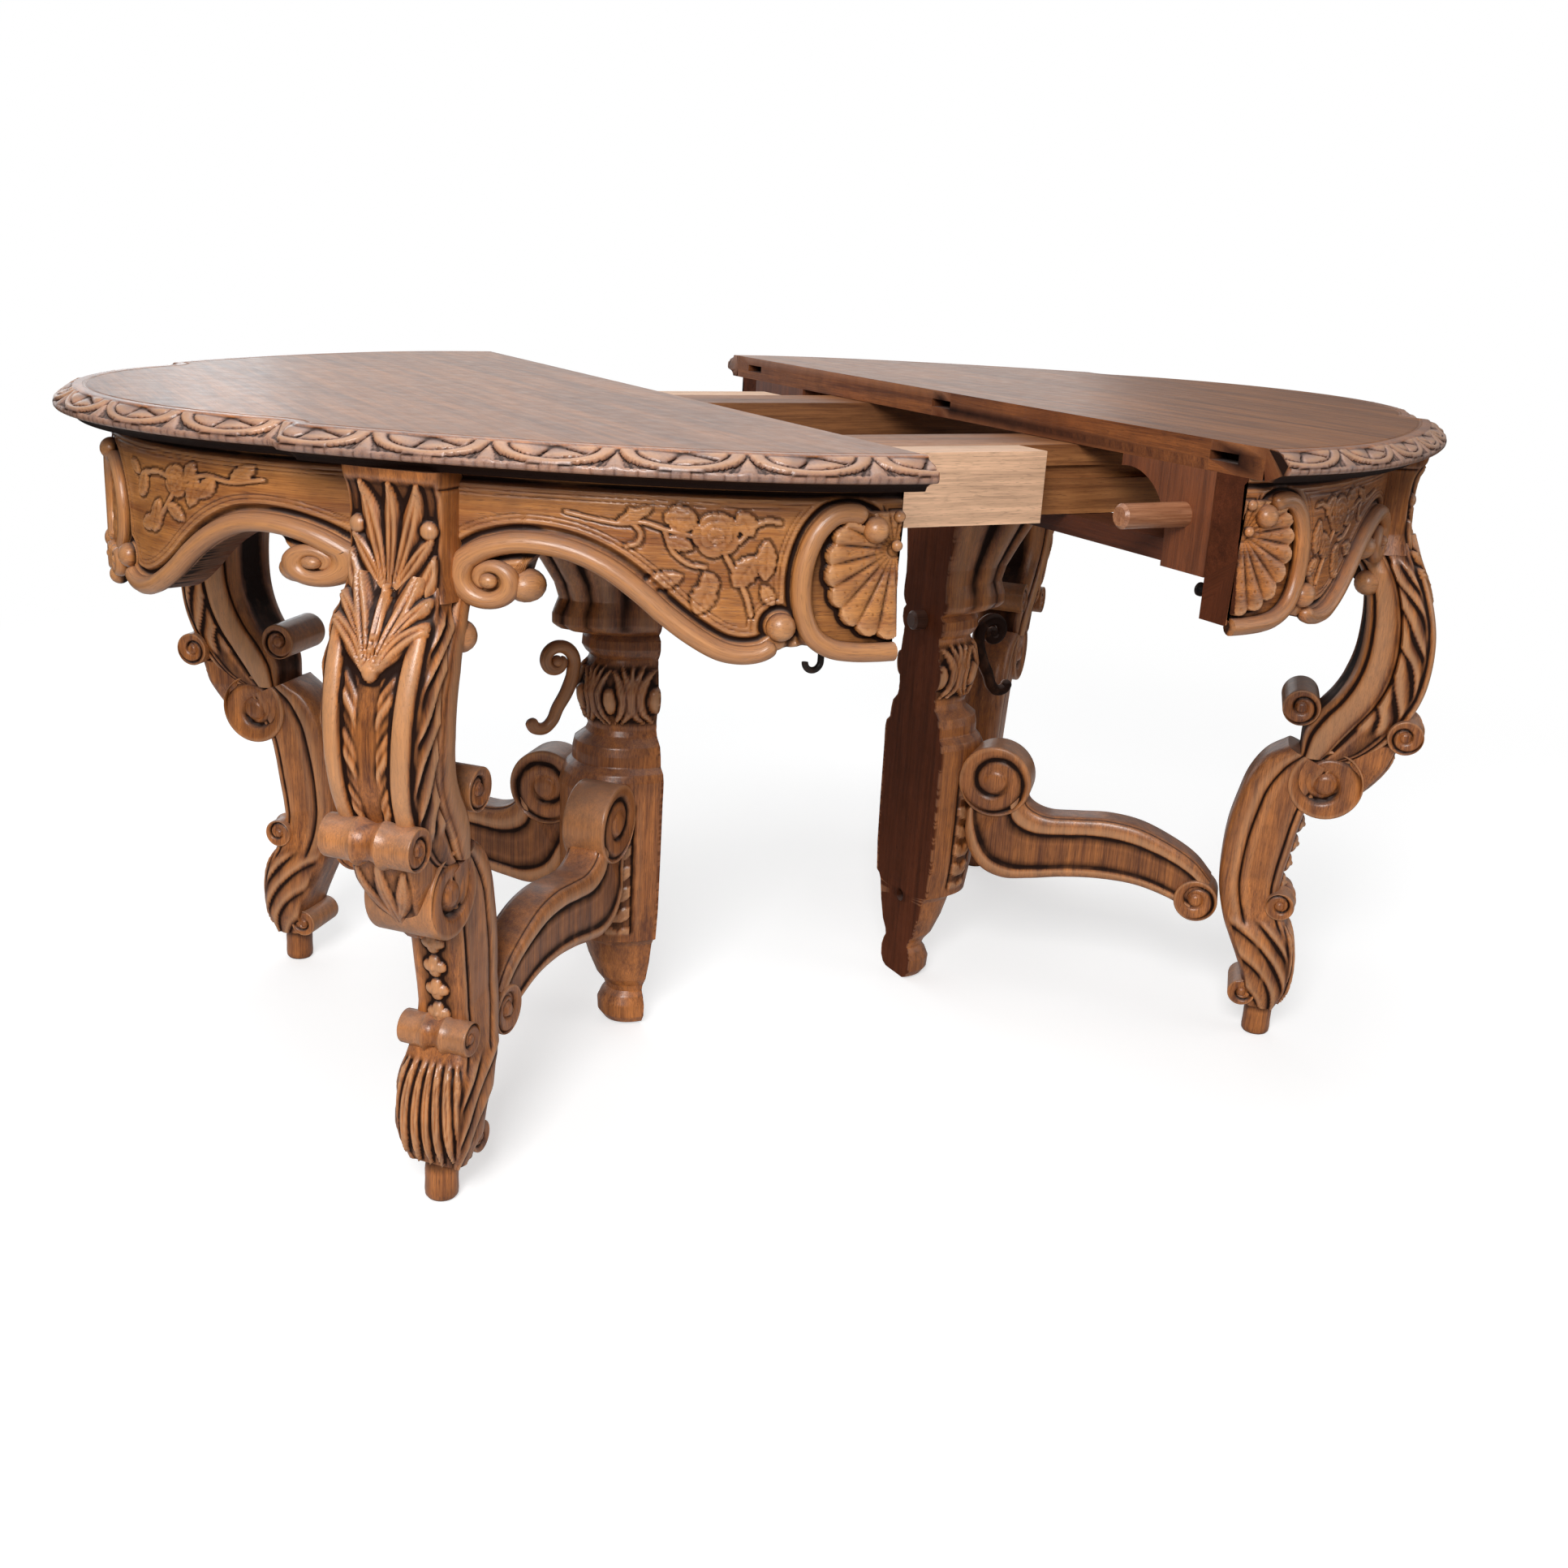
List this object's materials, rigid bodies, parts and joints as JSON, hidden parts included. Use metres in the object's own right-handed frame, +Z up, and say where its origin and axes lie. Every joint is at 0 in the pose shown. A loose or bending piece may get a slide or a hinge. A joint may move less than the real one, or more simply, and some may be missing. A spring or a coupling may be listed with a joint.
{
  "type": "extending table",
  "caption": "Carved oval dining table in two halves that draw apart on wooden slides to take leaves, each on a split column, scrolled legs and stretchers.",
  "frame": {"origin": "on the floor under the middle of the drawn-out table", "axes": "+X along the slides towards the half that moves, +Y to the back, +Z up"},
  "size_m": [1.63, 1.17, 0.76],
  "materials": {
    "oak_top": "waxed satin",
    "carved_oak": "waxed satin",
    "inner_oak": "plain dark",
    "slide_wood": "bare",
    "iron": "dull dark"
  },
  "bodies": {
    "left_half": {"apron_back_left": "carved_oak", "apron_end_left": "carved_oak", "apron_front_left": "carved_oak", "bracket_back_left": "inner_oak", "bracket_front_left": "inner_oak", "column_dowel_left": "inner_oak", "column_left": "carved_oak", "column_scroll_left": "carved_oak", "cross_rail_left": "inner_oak", "foot_back_left": "carved_oak", "foot_front_left": "carved_oak", "hook_screws": "iron", "leg_back_left": "carved_oak", "leg_front_left": "carved_oak", "slide_outer_back": "slide_wood", "slide_outer_front": "slide_wood", "slide_screws_left": "iron", "stretcher_back_left": "carved_oak", "stretcher_front_left": "carved_oak", "top_left": "oak_top", "top_tenons": "inner_oak"},
    "right_half": {"apron_back_right": "carved_oak", "apron_end_right": "carved_oak", "apron_front_right": "carved_oak", "bracket_back_right": "inner_oak", "bracket_front_right": "inner_oak", "column_dowel_right": "inner_oak", "column_right": "carved_oak", "column_scroll_right": "carved_oak", "cross_rail_right": "inner_oak", "foot_back_right": "carved_oak", "foot_front_right": "carved_oak", "guide_dowel_back": "inner_oak", "guide_dowel_front": "inner_oak", "hook_pegs": "iron", "leg_back_right": "carved_oak", "leg_front_right": "carved_oak", "slide_inner_back": "slide_wood", "slide_inner_front": "slide_wood", "slide_screws_right": "iron", "stretcher_back_right": "carved_oak", "stretcher_front_right": "carved_oak", "top_right": "oak_top"},
    "slide_middle_front": {"slide_middle_front": "slide_wood"},
    "slide_middle_back": {"slide_middle_back": "slide_wood"},
    "hook_front": {"hook_front": "iron"},
    "hook_back": {"hook_back": "iron"}
  },
  "joints": [
    {"name": "right_slide", "type": "slide", "parent": "left_half", "child": "right_half", "axis": [1, 0, 0], "range_m": [-0.3794, 0.56]},
    {"name": "middle_front_slide", "type": "slide", "parent": "left_half", "child": "slide_middle_front", "axis": [1, 0, 0], "range_m": [-0.1898, 0.2801]},
    {"name": "middle_back_slide", "type": "slide", "parent": "left_half", "child": "slide_middle_back", "axis": [1, 0, 0], "range_m": [-0.1898, 0.2801]},
    {"name": "hook_front_swing", "type": "hinge", "parent": "left_half", "child": "hook_front", "pos_m": [-0.23, -0.4791, 0.62], "axis": [0, 1, 0], "range_deg": [-90, 30]},
    {"name": "hook_back_swing", "type": "hinge", "parent": "left_half", "child": "hook_back", "pos_m": [-0.23, 0.4791, 0.62], "axis": [0, 1, 0], "range_deg": [-90, 30]}
  ],
  "couplings": [
    {"joint": "middle_front_slide", "follows": "right_slide", "ratio": 0.5},
    {"joint": "middle_back_slide", "follows": "right_slide", "ratio": 0.5}
  ]
}
